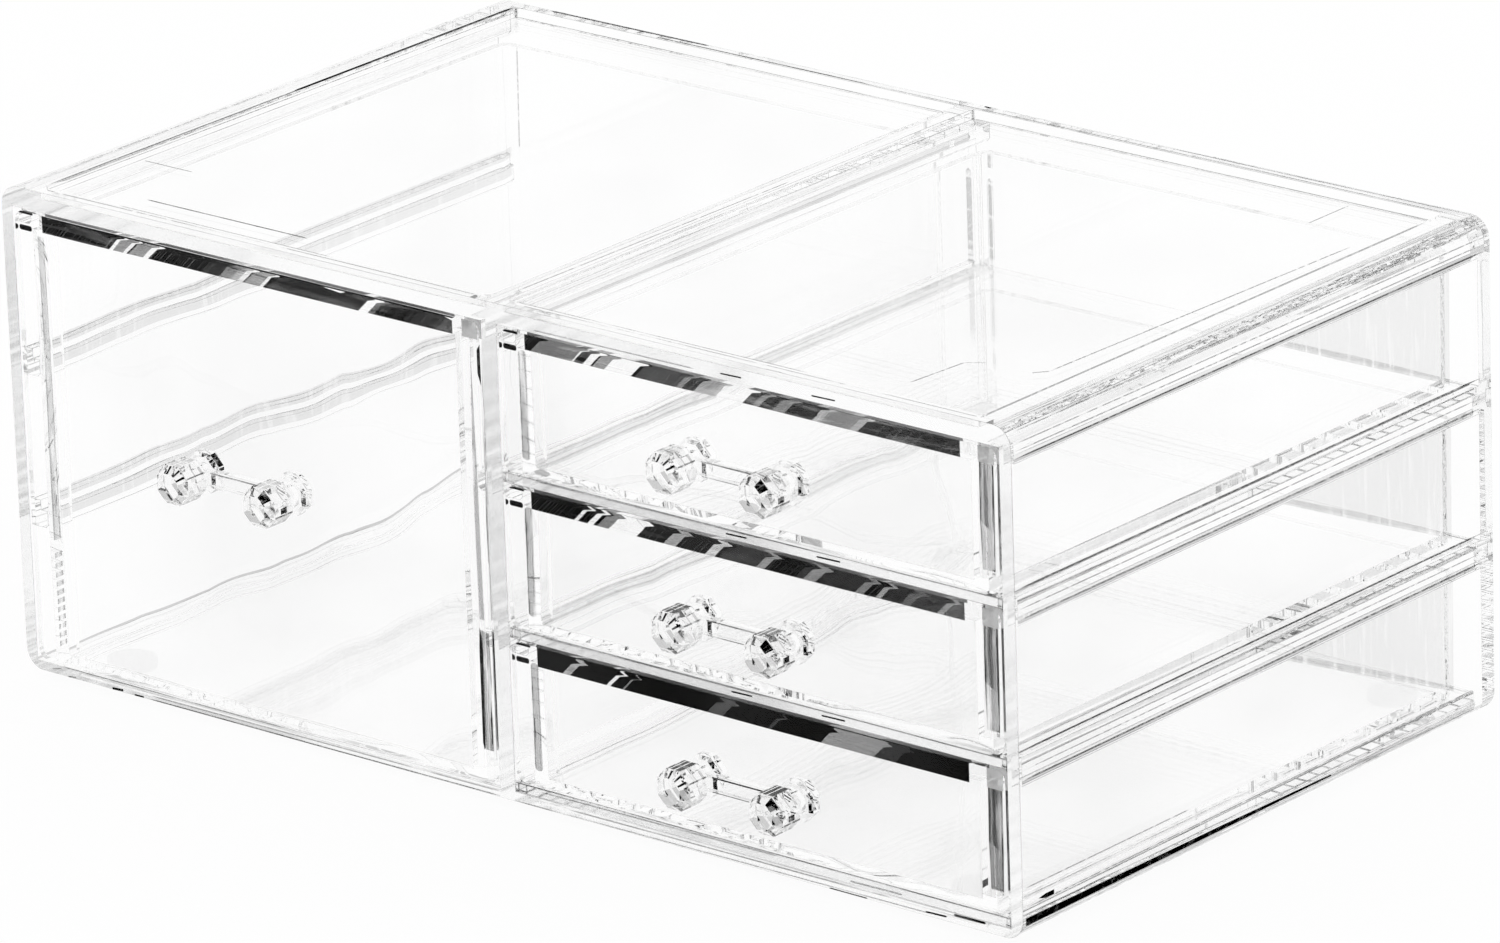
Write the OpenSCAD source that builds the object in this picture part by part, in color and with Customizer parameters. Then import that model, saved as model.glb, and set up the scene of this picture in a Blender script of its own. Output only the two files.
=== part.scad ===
// Clear desktop drawer case for cosmetics: one tall drawer on the left and three
// shallow drawers on the right. +X runs to the right along the front, +Y to the
// back and +Z up. The origin is the centre of the overall box, on the surface
// that the pads rest on.

/* [Case] */
// Width of the case
case_w = 298; // [240:1:360]
// Depth of the case, from its front edge to its back
case_d = 173; // [130:1:220]
// Height of the case, from the underside of its base to the top of its rim
case_h = 119; // [100:1:150]
// Radius of the four long outer corners
corner_r = 5; // [3:0.5:8]
// Thickness of the two outer side walls
side_t = 3.4; // [2.4:0.1:5]
// Thickness of the top plate
top_t = 2.6; // [2:0.1:4]
// Thickness of the base plate
base_t = 2.4; // [2:0.1:4]
// Thickness of the back panel
back_t = 2.6; // [2:0.1:4]
// Thickness of the divider between the two compartments
divider_t = 4.6; // [3:0.1:7]

/* [Stacking rim] */
// Height of the rim that stands round the top plate
rim_h = 2.4; // [1.5:0.1:4]
// Width of the rim along the left and right sides
rim_side_w = 10.4; // [7:0.1:14]
// Width of the rim along the front and the back
rim_end_w = 3.4; // [2.5:0.1:6]
// Width of the rib between the two halves of the rim
rim_mid_w = 5; // [3:0.1:9]
// Radius of the rim's inner corners
rim_r = 1.5; // [0.5:0.1:3]
// Height of the plinth ring under each half of the base
plinth_h = 1.6; // [1:0.1:2.2]
// Width of the plinth ring's wall
plinth_t = 2.2; // [1.5:0.1:4]
// Gap all round between a plinth and the rim of a case that it stands in
stack_gap = 0.7; // [0.4:0.1:1.5]

/* [Pads] */
// Diameter of the four pads under the base
pad_d = 11.5; // [8:0.5:14]
// Thickness of a pad
pad_t = 2.4; // [1.8:0.1:4]
// Radius of the rounded lower edge of a pad
pad_edge_r = 0.6; // [0.2:0.1:0.9]
// Distance from the side of the case to the centre of a pad
pad_side = 22.6; // [18:0.1:40]
// Distance from the front or back of the case to the centre of a pad
pad_end = 13; // [12:0.1:30]

/* [Rails and shelves] */
// How far the rails stand out from the walls
rail_w = 4.2; // [3:0.1:6]
// Height of a rail below the plate or shelf above it
rail_drop = 4.3; // [3:0.1:6]
// Width of the ledge on a rail that carries a shelf
ledge_w = 2; // [1.2:0.1:2.6]
// Bevel along the lower inside edge of a rail
rail_bevel = 0.8; // [0.2:0.1:1.5]
// Thickness of the three shelves
shelf_t = 2.4; // [1.8:0.1:4]
// Gap between a shelf and the rail beside it
shelf_gap = 0.15; // [0.1:0.05:0.4]
// Depth of the strip along a shelf's front edge that fills the opening
shelf_lip_d = 2.2; // [1.5:0.1:4]

/* [Drawers] */
// Thickness of a drawer's front panel
front_t = 2.6; // [2:0.1:4]
// Gap above and below a front panel
front_gap = 0.6; // [0.4:0.1:1]
// Gap at each side of a front panel
front_side_gap = 0.6; // [0.4:0.1:1]
// Corner radius of a front panel
front_r = 2.4; // [1:0.1:4]
// Gap behind a closed front panel, before the ends of the rails
stop_gap = 0.3; // [0.3:0.05:0.6]
// Height of the bead along the top of a front panel's inner face
bead_h = 4.4; // [3:0.1:6]
// Depth of that bead
bead_d = 4.6; // [3:0.1:7]
// Width of the upright ribs that the tray's side walls sit against
rib_w = 2; // [1.5:0.1:3]
// Depth of those ribs
rib_d = 3.6; // [2:0.1:5]
// Wall thickness of a drawer tray
tray_t = 2.2; // [1.6:0.1:3]
// Floor thickness of a drawer tray
floor_t = 2.2; // [1.6:0.1:3]
// Outer radius of a tray's two back corners
tray_r = 4; // [3.2:0.1:8]
// Gap between a tray and the rails beside it
tray_gap = 0.6; // [0.4:0.1:1]
// Space between a tray and the back panel
tray_back_gap = 3.4; // [2:0.2:20]

/* [Handles] */
// Distance between the centres of a handle's two knobs
knob_pitch = 26.6; // [24:0.2:40]
// How far the knobs stand out from the front panel
knob_l = 14.5; // [12:0.5:20]
// Width of a knob's eight-sided head and foot, across their corners
knob_d = 10.4; // [8:0.1:13]
// Width of a knob's eight-sided neck, across its corners
neck_d = 7; // [5:0.1:8]
// Length of a knob's head
head_l = 9; // [6:0.1:9.5]
// Bevel round the front face of a head
head_bevel = 1.8; // [0.8:0.1:2.6]
// Bevel at the back of a head
head_back_bevel = 1; // [0.4:0.1:1.6]
// Length of the foot at a knob's base
knob_foot_l = 3; // [2:0.1:4]
// Bevel round the front of a foot
foot_bevel = 0.8; // [0.3:0.1:1.5]
// Height of the bar that joins the knobs
bar_h = 4.2; // [3:0.1:5]
// Depth of the bar, from front to back
bar_d = 2.6; // [2:0.1:4]
// Gap between the bar and the front panel
bar_gap = 2.9; // [2:0.1:7]
// Bevel along the bar's edges
bar_bevel = 0.5; // [0.2:0.1:1]
// Height of the tall drawer's handle above the base plate
tall_handle_z = 59; // [40:0.5:80]

/* [Hidden] */

$fn = 64;
// A cut runs this far past the face that it opens
past = 1;

// The overall box runs from the knobs' ends to the back of the case
front_y = knob_l - (case_d + knob_l) / 2;
back_y = front_y + case_d;
base_z = pad_t;
top_z = base_z + case_h;

// Inside of the case
floor_z = base_z + base_t;
ceiling_z = top_z - rim_h - top_t;
inner_h = ceiling_z - floor_z;
inner_w = case_w - 2 * side_t;
inner_back_y = back_y - back_t;
bay_w = (inner_w - divider_t) / 2;
bay_x = (bay_w + divider_t) / 2;

// Rows of the right-hand bay, counted from the top: each stands on a shelf
row_h = (inner_h - 3 * shelf_t) / 3;
row_pitch = row_h + shelf_t;
function row_floor(i) = ceiling_z - row_h - i * row_pitch;

// Stacking pockets in the top
pocket_w = case_w / 2 - rim_side_w - rim_mid_w / 2;
pocket_d = case_d - 2 * rim_end_w;
pocket_x = (rim_mid_w + pocket_w) / 2;

// Rails run from just behind the closed front panels to the back panel
rail_y = front_y + front_t + stop_gap;
rail_l = inner_back_y - rail_y;

// Trays sit between the rails and behind their front panels
tray_w = bay_w - 2 * (rail_w + tray_gap);
tray_y = front_y + front_t;
tray_d = inner_back_y - tray_back_gap - tray_y;

// A flat outline with four round corners, centred
module rounded_plate(w, h, r) {
    square([w - 2 * r, h], center = true);
    square([w, h - 2 * r], center = true);
    for (x = [-1, 1], y = [-1, 1])
        translate([x * (w / 2 - r), y * (h / 2 - r)]) circle(r = r);
}

// Stands a flat outline up in the XZ plane, from y to y + depth
module upright(y, depth)
    translate([0, y + depth, 0]) rotate([90, 0, 0]) linear_extrude(depth) children();

// ---------------------------------------------------------------- case

module plinth_outline(inset)
    rounded_plate(pocket_w - 2 * (stack_gap + inset), pocket_d - 2 * (stack_gap + inset),
                  rim_r + max(0, plinth_t - inset) / 2);

module case_shell() color([0.80, 0.88, 0.92, 0.45]) {
    difference() {
        upright(front_y, case_d) difference() {
            translate([0, base_z + case_h / 2]) rounded_plate(case_w, case_h, corner_r);
            translate([-inner_w / 2, floor_z]) square([inner_w, inner_h]);
        }
        for (side = [-1, 1])
            translate([side * pocket_x, (front_y + back_y) / 2, top_z - rim_h])
                linear_extrude(rim_h + past) rounded_plate(pocket_w, pocket_d, rim_r);
    }
    for (side = [-1, 1])
        translate([side * pocket_x, (front_y + back_y) / 2, base_z - plinth_h])
            linear_extrude(plinth_h + base_t / 2) difference() {
                plinth_outline(0);
                plinth_outline(plinth_t);
            }
}

module back_panel() color([0.78, 0.87, 0.92, 0.45])
    translate([-inner_w / 2, inner_back_y, floor_z]) cube([inner_w, back_t, inner_h]);

module divider() color([0.74, 0.84, 0.90, 0.5])
    translate([-divider_t / 2, front_y, floor_z]) cube([divider_t, case_d - back_t, inner_h]);

// ---------------------------------------------------------------- rails

// Section of a rail on a wall at x = 0, hanging down from z = 0
module rail_section(h)
    polygon([[0, 0], [rail_w, 0], [rail_w, rail_bevel - h], [rail_w - rail_bevel, -h], [0, -h]]);

module shelf_rail_section() difference() {
    rail_section(shelf_t + rail_drop);
    translate([rail_w - ledge_w, -shelf_t]) square([ledge_w + past, shelf_t + past]);
}

// Turns pieces that point to +X so that they point to the given side
module facing(side) mirror([side < 0 ? 1 : 0, 0, 0]) children();

// One wall's three rails: wall_x is the wall's face, side points into the bay
module rails(wall_x, side) color([0.70, 0.83, 0.90, 0.55])
    translate([wall_x, 0, 0]) facing(side) upright(rail_y, rail_l) {
        translate([0, ceiling_z]) rail_section(rail_drop);
        for (i = [0, 1]) translate([0, row_floor(i)]) shelf_rail_section();
    }

module rails_left_wall() rails(-inner_w / 2, 1);
module rails_divider_left() rails(-divider_t / 2, -1);
module rails_divider_right() rails(divider_t / 2, 1);
module rails_right_wall() rails(inner_w / 2, -1);

// ---------------------------------------------------------------- shelves

// A plate on the rails' ledges, with a strip as wide as the bay along its front.
// The lowest of the three lies on the base plate.
module shelf(i) color([0.76, 0.86, 0.92, 0.5]) {
    plate_w = bay_w - 2 * (rail_w - ledge_w + shelf_gap);
    translate([bay_x, 0, row_floor(i) - shelf_t]) linear_extrude(shelf_t) {
        translate([-plate_w / 2, front_y]) square([plate_w, inner_back_y - front_y]);
        translate([-bay_w / 2, front_y]) square([bay_w, shelf_lip_d]);
    }
}

module shelf_upper() shelf(0);
module shelf_lower() shelf(1);
module shelf_bottom() shelf(2);

// ---------------------------------------------------------------- pads

module pad(side_x, side_y) color([0.86, 0.88, 0.88, 0.8])
    translate([side_x * (case_w / 2 - pad_side),
               (front_y + back_y) / 2 + side_y * (case_d / 2 - pad_end), 0])
        rotate_extrude() {
            square([pad_d / 2 - pad_edge_r, pad_t]);
            translate([0, pad_edge_r]) square([pad_d / 2, pad_t - pad_edge_r]);
            translate([pad_d / 2 - pad_edge_r, pad_edge_r]) intersection() {
                circle(r = pad_edge_r);
                translate([0, -pad_edge_r]) square(pad_edge_r);
            }
        }

module pad_front_left() pad(-1, -1);
module pad_front_right() pad(1, -1);
module pad_back_left() pad(-1, 1);
module pad_back_right() pad(1, 1);

// ---------------------------------------------------------------- drawers

// Top of a tray's walls above the bay's floor, level with the bead's underside
function tray_h(bay_h) = bay_h - front_gap - bead_h;

// Plan of a tray or its pocket: square in front, round corners at the back
module tray_plan(w, d, r) {
    translate([-w / 2, 0]) square([w, d - r]);
    translate([r - w / 2, 0]) square([w - 2 * r, d]);
    for (side = [-1, 1]) translate([side * (w / 2 - r), d - r]) circle(r = r);
}

// A floor and three walls: the front panel closes the fourth side
module tray(x, z, bay_h) color([0.84, 0.91, 0.95, 0.4])
    translate([x, tray_y, z]) difference() {
        linear_extrude(tray_h(bay_h)) tray_plan(tray_w, tray_d, tray_r);
        translate([0, 0, floor_t]) linear_extrude(tray_h(bay_h))
            tray_plan(tray_w - 2 * tray_t, tray_d - tray_t, tray_r - tray_t);
        translate([tray_t - tray_w / 2, -past, floor_t])
            cube([tray_w - 2 * tray_t, past + tray_r, tray_h(bay_h)]);
    }

// A panel that fills the bay's mouth, with a bead and two ribs on its inner face
module front(x, z, bay_h) color([0.82, 0.90, 0.95, 0.45]) {
    panel_h = bay_h - 2 * front_gap;
    pocket = tray_w - 2 * tray_t;
    translate([x, 0, z]) {
        upright(front_y, front_t) translate([0, bay_h / 2])
            rounded_plate(bay_w - 2 * front_side_gap, panel_h, front_r);
        translate([-pocket / 2, tray_y, tray_h(bay_h)]) cube([pocket, bead_d, bead_h]);
        for (side = [-1, 1])
            translate([side * (pocket - rib_w) / 2 - rib_w / 2, tray_y, floor_t])
                cube([rib_w, rib_d, tray_h(bay_h) - floor_t]);
    }
}

// Half section of a knob, from its foot on the panel to its head
module knob_section() {
    r = knob_d / 2;
    head_y = knob_l - head_l;
    polygon([
        [0, 0], [r, 0], [r, knob_foot_l - foot_bevel], [r - foot_bevel, knob_foot_l],
        [neck_d / 2, knob_foot_l], [neck_d / 2, head_y],
        [r - head_back_bevel, head_y], [r, head_y + head_back_bevel],
        [r, knob_l - head_bevel], [r - head_bevel, knob_l], [0, knob_l]
    ]);
}

// Section across the bar, with its four long edges bevelled
module bar_section() {
    w = bar_d / 2;
    h = bar_h / 2;
    b = bar_bevel;
    polygon([[b - w, -h], [w - b, -h], [w, b - h], [w, h - b],
             [w - b, h], [b - w, h], [-w, h - b], [-w, b - h]]);
}

// Two eight-sided knobs joined by a bar, with their feet on the front panel
module handle(x, z) color([0.72, 0.84, 0.92, 0.7])
    translate([x, front_y, z]) {
        for (side = [-1, 1])
            translate([side * knob_pitch / 2, 0, 0]) rotate([90, 0, 0])
                rotate([0, 0, 22.5]) rotate_extrude($fn = 8) knob_section();
        translate([-knob_pitch / 2, -bar_gap - bar_d / 2, 0])
            rotate([90, 0, 90]) linear_extrude(knob_pitch) bar_section();
    }

// Height of a shallow drawer's handle: half way up its panel, below the bead
handle_rise = (front_gap + tray_h(row_h)) / 2;

module tray_tall() tray(-bay_x, floor_z, inner_h);
module front_tall() front(-bay_x, floor_z, inner_h);
module handle_tall() handle(-bay_x, floor_z + tall_handle_z);

module tray_top() tray(bay_x, row_floor(0), row_h);
module front_top() front(bay_x, row_floor(0), row_h);
module handle_top() handle(bay_x, row_floor(0) + handle_rise);

module tray_middle() tray(bay_x, row_floor(1), row_h);
module front_middle() front(bay_x, row_floor(1), row_h);
module handle_middle() handle(bay_x, row_floor(1) + handle_rise);

module tray_bottom() tray(bay_x, row_floor(2), row_h);
module front_bottom() front(bay_x, row_floor(2), row_h);
module handle_bottom() handle(bay_x, row_floor(2) + handle_rise);

case_shell();
back_panel();
divider();
rails_left_wall();
rails_divider_left();
rails_divider_right();
rails_right_wall();
shelf_upper();
shelf_lower();
shelf_bottom();
pad_front_left();
pad_front_right();
pad_back_left();
pad_back_right();
tray_tall();
front_tall();
handle_tall();
tray_top();
front_top();
handle_top();
tray_middle();
front_middle();
handle_middle();
tray_bottom();
front_bottom();
handle_bottom();
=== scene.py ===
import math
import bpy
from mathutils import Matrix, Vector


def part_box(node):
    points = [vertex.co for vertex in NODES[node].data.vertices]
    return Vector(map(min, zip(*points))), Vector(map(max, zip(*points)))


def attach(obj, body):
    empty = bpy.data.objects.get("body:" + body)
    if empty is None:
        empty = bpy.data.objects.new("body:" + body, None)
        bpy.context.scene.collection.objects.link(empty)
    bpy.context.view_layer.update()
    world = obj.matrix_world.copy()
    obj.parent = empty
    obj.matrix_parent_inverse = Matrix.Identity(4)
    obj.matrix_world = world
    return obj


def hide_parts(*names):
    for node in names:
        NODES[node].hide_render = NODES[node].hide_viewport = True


bl_info = {
    "name": "Clear Drawer Case",
    "version": (1, 0, 0),
    "blender": (4, 5, 0),
    "location": "3D View > Sidebar > Drawer Case",
    "description": "Dresses a clear desktop drawer case in moulded acrylic",
    "category": "Object",
}

import bmesh
import bpy
from bpy.props import FloatProperty, FloatVectorProperty, PointerProperty
from mathutils import Matrix, Vector

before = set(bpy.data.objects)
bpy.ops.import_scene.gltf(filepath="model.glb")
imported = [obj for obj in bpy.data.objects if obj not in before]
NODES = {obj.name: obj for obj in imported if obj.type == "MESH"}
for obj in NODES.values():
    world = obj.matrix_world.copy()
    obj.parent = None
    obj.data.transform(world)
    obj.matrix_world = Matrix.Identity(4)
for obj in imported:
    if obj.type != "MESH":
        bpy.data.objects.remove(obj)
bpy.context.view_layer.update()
DRAWERS = ("tall", "top", "middle", "bottom")
SHELVES = ("shelf_upper", "shelf_lower", "shelf_bottom")
MM = 0.001
ZERO = Vector((0, 0, 0))
ACRYLIC_IOR = 1.49


# ---------------------------------------------------------------- settings

def srgb(hex_colour):
    """A hex sRGB colour as linear red, green, blue and alpha."""
    parts = [int(hex_colour[i:i + 2], 16) / 255 for i in (1, 3, 5)]
    linear = (c / 12.92 if c <= 0.04045 else ((c + 0.055) / 1.055) ** 2.4 for c in parts)
    return tuple(linear) + (1.0,)


def colour(name, description, default):
    return FloatVectorProperty(name=name, description=description, subtype="COLOR", size=4,
                               min=0.0, max=1.0, default=srgb(default))


def length(name, description, mm, low=0.0, high=1000.0):
    return FloatProperty(name=name, description=description, unit="LENGTH", precision=5,
                         min=low * MM, max=high * MM, default=mm * MM)


def share(name, description, default, high=1.0):
    return FloatProperty(name=name, description=description, min=0.0, max=high, default=default)


class AcrylicLook(bpy.types.PropertyGroup):
    tint: colour("Tint", "Colour of the acrylic where it is clearest", "#FFFFFF")
    # The cloud colour is random tone that is also painted shade, standing in for dim reflections
    cloud: colour("Cloud", "Colour of the faint clouds in the acrylic", "#FDFDFD")
    cloud_size: length("Cloud size", "Size of the faint clouds", 55)
    shine: colour("Shine", "Strength of the reflections on a polished face", "#3C3C3C")
    wave_height: length("Wave height", "Height of the slow waves that a mould leaves in its walls",
                        0.008)
    wave_size: length("Wave size", "Length of those waves", 20)
    panel_wave_height: length("Panel wave height", "Height of the waves in a drawer's front panel",
                              7.0)
    panel_wave_size: length("Panel wave size", "Length of the waves in a front panel", 45)
    edge_round: length("Edge round", "Width of the rounding along the moulded edges", 0.3)
    facet_round: length("Facet round", "Width of the rounding between a knob's facets", 0.12)
    skin: length("Skin", "How far a piece is drawn in, so that clear pieces don't share a face",
                 0.02)
    # The edge lines are painted shade, mixed into the rounded edges
    line: colour("Line", "Colour of the thin lines along the edges", "#2A2C2E")
    line_low: share("Faint lines", "Strength of the edge lines where they are faintest", 0.1)
    line_high: share("Strong lines", "Strength of the edge lines where they are strongest", 0.7)
    satin: share("Satin", "Roughness of the case's sawn front edges", 0.18)
    edge_satin: share("Edge satin", "Roughness of the rounded edges", 0.08)


class FilmLook(bpy.types.PropertyGroup):
    dark: colour("Dark", "Colour of the dark reflections in the edges", "#020202")
    glint: colour("Glint", "Colour of the bright reflection in a front panel's upper corner",
                  "#FFFFFF")
    streak: length("Streak", "Width of the fine streaks", 0.55)
    bend: length("Bend", "How far the streaks wander", 0.8)
    hook: length("Hook", "How far a streak runs out before it turns back under the bead's top", 2.0)
    depth: length("Depth", "How far the reflections lie from the inner face of a panel", 0.3)


class PadLook(bpy.types.PropertyGroup):
    tint: colour("Tint", "Colour of the soft pads", "#F6F8F8")
    grain: length("Grain", "Size of the fine grain on a pad", 0.6)
    milk: share("Milk", "How milky a pad is", 0.06, high=0.7)


class StageLook(bpy.types.PropertyGroup):
    paper: colour("Paper", "Colour of the floor", "#FAFAFA")
    white: share("White", "Share of the floor that is seen as plain white", 0.96)
    room: share("Room", "Brightness of the dimmer parts of the studio", 0.6)


# ---------------------------------------------------------------- nodes

def node(tree, kind, settings=None, links=None):
    """Adds a node, sets its colour steps, properties or sockets and links its inputs."""
    new = tree.nodes.new(kind)
    for key, value in (settings or {}).items():
        if key == "steps":
            steps = new.color_ramp.elements
            for place, shade in value[1:-1]:
                steps.new(place)
            for step, (place, shade) in zip(steps, value):
                step.position = place
                step.color = shade
        elif isinstance(key, str) and hasattr(new, key):
            setattr(new, key, value)
        else:
            new.inputs[key].default_value = value
    for key, socket in (links or {}).items():
        tree.links.new(socket, new.inputs[key])
    return new


def object_coord(tree):
    return node(tree, "ShaderNodeTexCoord").outputs["Object"]


def noise(tree, vector, size, detail, settings=None):
    """Noise whose features have one size, in metres."""
    return node(tree, "ShaderNodeTexNoise",
                {"Scale": 1 / size, "Detail": detail, **(settings or {})},
                {"Vector": vector}).outputs["Fac"]


def maths(tree, operation, *values, clamp=False):
    """A step of arithmetic on sockets and numbers."""
    numbers = {i: v for i, v in enumerate(values) if isinstance(v, (int, float))}
    sockets = {i: v for i, v in enumerate(values) if i not in numbers}
    return node(tree, "ShaderNodeMath", {"operation": operation, "use_clamp": clamp, **numbers},
                sockets).outputs[0]


def spread(tree, value, low, high, to_low=0.0, to_high=1.0):
    """Spreads the values from low to high over another range, and holds the rest at its ends."""
    return node(tree, "ShaderNodeMapRange",
                {"From Min": low, "From Max": high, "To Min": to_low, "To Max": to_high},
                {"Value": value}).outputs[0]


def bump(tree, height, distance, strength=1.0):
    return node(tree, "ShaderNodeBump", {"Strength": strength, "Distance": distance},
                {"Height": height}).outputs["Normal"]


def acrylic(tree, look, settings=None, links=None):
    """Clear acrylic, by its look."""
    whole = {"IOR": ACRYLIC_IOR, "Transmission Weight": 1.0, "Specular Tint": look.shine}
    whole.update(settings or {})
    return node(tree, "ShaderNodeBsdfPrincipled", whole, links)


def painted_reflection_shader(tree, tint):
    """A matt colour without a sheen, for a painted reflection, dark or bright."""
    return node(tree, "ShaderNodeBsdfPrincipled",
                {"Base Color": tint, "Roughness": 0.6, "Specular IOR Level": 0.0})


def clear(tree):
    return node(tree, "ShaderNodeBsdfTransparent")


def finish(tree, shader, second=None, second_share=None):
    """Ends a material with one shader, or with two and the share of the second."""
    if second:
        shader = node(tree, "ShaderNodeMixShader", None,
                      {0: second_share, 1: shader.outputs[0], 2: second.outputs[0]})
    node(tree, "ShaderNodeOutputMaterial", None, {"Surface": shader.outputs[0]})


# ---------------------------------------------------------------- materials

PAPER_GRAIN = 1 / 900
# A streak's turning point lies this far above the bead's lower edge, and turns within so much
HOOK_RISE = 3.5 * MM
HOOK_TURN = 0.6 * MM


def new_material(name):
    """A material and its empty tree, or no tree where the material is there already."""
    mat = bpy.data.materials.get(name)
    if mat:
        return mat, None
    mat = bpy.data.materials.new(name)
    mat.use_nodes = True
    mat.node_tree.nodes.clear()
    return mat, mat.node_tree


def clear_acrylic(name, look, wave_height, wave_size):
    """Moulded acrylic: a polished skin with slow waves, which bend what is seen through it."""
    mat, tree = new_material(name)
    if tree is None:
        return mat
    coord = object_coord(tree)
    waves = noise(tree, coord, wave_size, 0.6, {"Roughness": 0.35})
    # Faint grey clouds at random keep large walls from looking empty; they are partly painted
    # shade, standing in for dim reflections
    clouds = spread(tree, noise(tree, coord, look.cloud_size, 2.0), 0.42, 0.66)
    cast = node(tree, "ShaderNodeMix", {"data_type": "RGBA", 6: look.tint, 7: look.cloud},
                {0: clouds})
    finish(tree, acrylic(tree, look, {"Roughness": 0.0},
                         {"Base Color": cast.outputs[2], "Normal": bump(tree, waves, wave_height)}))
    return mat


def edge_acrylic(name, look, low, high):
    """The rounded edges of clear acrylic, with thin grey lines of painted shade that come and go.
    """
    mat, tree = new_material(name)
    if tree is None:
        return mat
    fade = spread(tree, noise(tree, object_coord(tree), 22 * MM, 2.0), 0.38, 0.64, low, high)
    edge = acrylic(tree, look, {"Roughness": look.edge_satin, "Base Color": look.tint})
    # The dark line is painted shade
    line = node(tree, "ShaderNodeBsdfPrincipled", {"Base Color": look.line, "Roughness": 0.4})
    finish(tree, edge, line, fade)
    return mat


def satin_acrylic(name, look):
    """Sawn and flamed front edge: a soft sheen that blurs what lies behind it."""
    mat, tree = new_material(name)
    if tree is None:
        return mat
    rough = spread(tree, noise(tree, object_coord(tree), 9 * MM, 3.0), 0.0, 1.0,
                   look.satin * 0.7, look.satin * 1.3)
    finish(tree, acrylic(tree, look, {"Base Color": look.tint}, {"Roughness": rough}))
    return mat


def streaked_film(name, look, start, span, stripes, fine=0.0, brush=0.0, lean=1.0, hook=0.0,
                  seed=0):
    """Dark reflection inside an edge: stripes that lean and hook, with fine bright streaks.

    The stripes run from the start over the span, both in metres. Each has its place in
    millimetres and its clearness. fine and brush are the clearness of the streaks and strokes.
    """
    mat, tree = new_material(name)
    if tree is None:
        return mat
    coord = object_coord(tree)
    xyz = node(tree, "ShaderNodeSeparateXYZ", None, {0: coord})
    run = maths(tree, "ADD", xyz.outputs["X"], -start.x)
    rise = maths(tree, "ADD", xyz.outputs["Z"], -start.z)
    leaned = maths(tree, "MULTIPLY_ADD", rise, -lean, run)
    # Each stripe runs out to a point near the top and turns back
    gap = maths(tree, "ABSOLUTE", maths(tree, "SUBTRACT", rise, HOOK_RISE))
    hooked = maths(tree, "ADD", leaned, spread(tree, gap, 0.0, HOOK_TURN, -hook, 0.0))
    wander = maths(tree, "SUBTRACT", noise(tree, coord, 5 * MM, 1.0), 0.5)
    along = maths(tree, "MULTIPLY_ADD", wander, look.bend, hooked)
    steps = [(place * MM / span, (tone, tone, tone, 1.0)) for place, tone in stripes]
    tone = node(tree, "ShaderNodeValToRGB", {"steps": steps},
                {"Fac": maths(tree, "DIVIDE", along, span)})
    tone.color_ramp.interpolation = "CONSTANT"
    hair = node(tree, "ShaderNodeTexNoise",
                {"noise_dimensions": "1D", "Scale": 1 / look.streak, "Detail": 1.0},
                {"W": maths(tree, "ADD", along, seed * 0.173)})
    streaks = spread(tree, hair.outputs["Fac"], 0.56, 0.72, 0.0, fine)
    # Brush strokes run along the leaning stripes, or along the upright ones
    flat = node(tree, "ShaderNodeVectorMath",
                {"operation": "MULTIPLY", 1: (0.1, 1.0, 1.0) if lean else (1, 1, 0.1)}, {0: coord})
    strokes = spread(tree, noise(tree, flat.outputs[0], 1.8 * MM, 2.0), 0.53, 0.66, 0.0, brush)
    light = maths(tree, "ADD", streaks, strokes)
    finish(tree, painted_reflection_shader(tree, look.dark), clear(tree),
           maths(tree, "ADD", light, tone.outputs[0], clamp=True))
    return mat


def plain_film(name, look, tone, fine, brush, lean=1.0, seed=0):
    """A film of one clearness, with streaks and strokes."""
    return streaked_film(name, look, ZERO, 1.0, ((0, tone), (900, tone)), fine, brush, lean,
                         seed=seed)


def upright_film(name, look, left, stripes, fine, brush, seed):
    """A film of upright stripes from the left, in millimetres."""
    return streaked_film(name, look, Vector((left, 0, 0)) * MM, 5 * MM, stripes, fine, brush,
                         lean=0.0, seed=seed)


def glint_film(name, look):
    """Bright reflection inside a corner: soft white that comes and goes."""
    mat, tree = new_material(name)
    if tree is None:
        return mat
    drift = spread(tree, noise(tree, object_coord(tree), 2 * MM, 2.0), 0.35, 0.6, 0.75, 0.95)
    finish(tree, clear(tree), painted_reflection_shader(tree, look.glint), drift)
    return mat


def milky_silicone(name, look):
    """Thin milky silicone: mostly see-through, with a fine grain."""
    mat, tree = new_material(name)
    if tree is None:
        return mat
    grain = noise(tree, object_coord(tree), look.grain, 3.0)
    milk = spread(tree, grain, 0.3, 0.7, look.milk * 0.6, look.milk * 1.4)
    skin = node(tree, "ShaderNodeBsdfPrincipled", {"Base Color": look.tint, "Roughness": 0.55},
                {"Normal": bump(tree, grain, 0.05 * MM, 0.4)})
    finish(tree, clear(tree), skin, milk)
    return mat


def floor_paper(name, look):
    """Matt paper: mostly plain white where it is seen, with the case's shadow in the rest."""
    mat, tree = new_material(name)
    if tree is None:
        return mat
    path = node(tree, "ShaderNodeLightPath").outputs
    direct = maths(tree, "MAXIMUM", path["Is Camera Ray"], path["Is Transmission Ray"])
    seen = maths(tree, "MAXIMUM", direct, path["Is Glossy Ray"])
    grain = noise(tree, object_coord(tree), PAPER_GRAIN, 2.0)
    paper = node(tree, "ShaderNodeBsdfDiffuse", {"Color": look.paper},
                 {"Normal": bump(tree, grain, 0.05 * MM, 0.2)})
    white = node(tree, "ShaderNodeEmission", {"Color": srgb("#FFFFFF"), "Strength": 1.0})
    finish(tree, paper, white, maths(tree, "MULTIPLY", seen, look.white))
    return mat


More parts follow.
